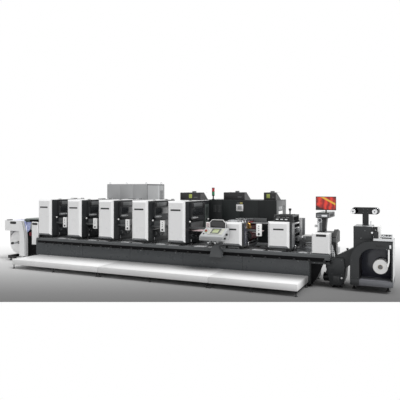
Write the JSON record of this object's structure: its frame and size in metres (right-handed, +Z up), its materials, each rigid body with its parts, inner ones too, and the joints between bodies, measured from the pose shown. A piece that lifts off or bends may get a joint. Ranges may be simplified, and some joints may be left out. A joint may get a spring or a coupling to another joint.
{
  "type": "flexographic label press",
  "caption": "Narrow-web label press line: unwinder, tall printing units, die stations, inspection station and arched rewinder on one long bench with a step platform.",
  "frame": {"origin": "floor level, middle of the press's footprint box", "axes": "+X along the line from unwinder to rewinder, +Y from the operator's side to the back, +Z up"},
  "size_m": [9.475, 3.1122, 2.056],
  "materials": {
    "deck_sheet": "satin powder coat",
    "black_steel": "satin black",
    "skirt_paint": "satin powder coat",
    "rail_paint": "satin powder coat",
    "bench_steel": "ground and oiled",
    "dark_paint": "fine textured powder coat",
    "white_paint": "smooth powder coat",
    "hood_paint": "satin",
    "bright_steel": "brushed",
    "cabinet_grey": "fine textured powder coat",
    "lamp_plastic": "translucent lenses",
    "console_grey": "satin powder coat",
    "red_rubber": "ground rubber",
    "chrome": "polished",
    "guard_steel": "perforated and brushed",
    "screen_plastic": "gloss screen in a satin case",
    "paper": "uncoated paper"
  },
  "bodies": {
    "press": {"step_decks": "deck_sheet", "levelling_feet": "black_steel", "base_frame": "black_steel", "base_skirt": "skirt_paint", "end_frames": "black_steel", "bench_top": "bench_steel", "bench_rail": "rail_paint", "tail_drive": "dark_paint", "unit_frame_1": "dark_paint", "unit_frame_2": "dark_paint", "unit_frame_3": "dark_paint", "unit_frame_4": "dark_paint", "unit_frame_5": "dark_paint", "unit_plinths": "black_steel", "unit_covers": "white_paint", "unit_hoods": "hood_paint", "unit_handles": "bright_steel", "button_plates": "white_paint", "lamp_boxes": "black_steel", "electrical_cabinet": "cabinet_grey", "lifting_eyes": "bright_steel", "rear_cabinet": "dark_paint", "stack_light": "lamp_plastic", "console_bracket": "rail_paint", "station_covers": "white_paint", "die_frame_1": "dark_paint", "die_frame_2": "dark_paint", "die_top_plates": "bright_steel", "guide_bars": "chrome", "die_bridge": "black_steel", "web_guard": "guard_steel", "inspection_frame": "dark_paint", "camera_column": "guard_steel", "camera_head": "dark_paint", "monitor": "screen_plastic", "waste_hopper": "black_steel", "link_block": "dark_paint", "link_strut": "dark_paint", "rewinder_arch": "dark_paint", "rewinder_housing": "dark_paint", "rewinder_base": "skirt_paint", "rewinder_tower": "dark_paint", "dancer_head": "black_steel", "slitting_table": "bright_steel", "unwinder_frame": "white_paint", "unwinder_housing": "white_paint", "unwinder_base": "black_steel", "infeed_body": "black_steel", "paper_web": "paper"},
    "unwind_roll": {"unwind_roll": "paper"},
    "rewind_roll": {"rewind_roll": "paper"},
    "die_cylinder_upper": {"die_cylinder_upper": "red_rubber"},
    "die_cylinder_lower": {"die_cylinder_lower": "red_rubber"},
    "infeed_roller": {"infeed_roller": "red_rubber"},
    "dancer_roller_left": {"dancer_roller_left": "chrome"},
    "dancer_roller_right": {"dancer_roller_right": "chrome"},
    "pressure_screw": {"pressure_screw": "black_steel"},
    "console": {"console_box": "console_grey", "console_hood": "black_steel"}
  },
  "joints": [
    {"name": "unwind_spin", "type": "hinge", "parent": "press", "child": "unwind_roll", "pos_m": [-4.3775, -0.38515, 0.47], "axis": [0, 1, 0], "continuous": true},
    {"name": "rewind_spin", "type": "hinge", "parent": "press", "child": "rewind_roll", "pos_m": [4.5245, -0.47515, 0.476], "axis": [0, 1, 0], "continuous": true},
    {"name": "die_spin", "type": "hinge", "parent": "press", "child": "die_cylinder_upper", "pos_m": [1.8845, -0.04515, 1.092], "axis": [0, 1, 0], "continuous": true},
    {"name": "anvil_spin", "type": "hinge", "parent": "press", "child": "die_cylinder_lower", "pos_m": [1.8845, -0.04515, 0.898], "axis": [0, 1, 0], "continuous": true},
    {"name": "infeed_spin", "type": "hinge", "parent": "press", "child": "infeed_roller", "pos_m": [-4.0712, -0.35015, 0.705], "axis": [0, 1, 0], "continuous": true},
    {"name": "dancer_left_spin", "type": "hinge", "parent": "press", "child": "dancer_roller_left", "pos_m": [4.0525, -0.47515, 1.469], "axis": [0, 1, 0], "continuous": true},
    {"name": "dancer_right_spin", "type": "hinge", "parent": "press", "child": "dancer_roller_right", "pos_m": [4.4265, -0.47515, 1.469], "axis": [0, 1, 0], "continuous": true},
    {"name": "pressure_turn", "type": "hinge", "parent": "press", "child": "pressure_screw", "pos_m": [2.8035, -0.34015, 1.4], "axis": [0, 0, 1], "continuous": true},
    {"name": "console_tilt", "type": "hinge", "parent": "press", "child": "console", "pos_m": [1.3615, -0.87815, 0.799], "axis": [1, 0, 0], "range_deg": [-3, 20]}
  ],
  "couplings": [
    {"joint": "anvil_spin", "follows": "die_spin", "ratio": -1}
  ]
}
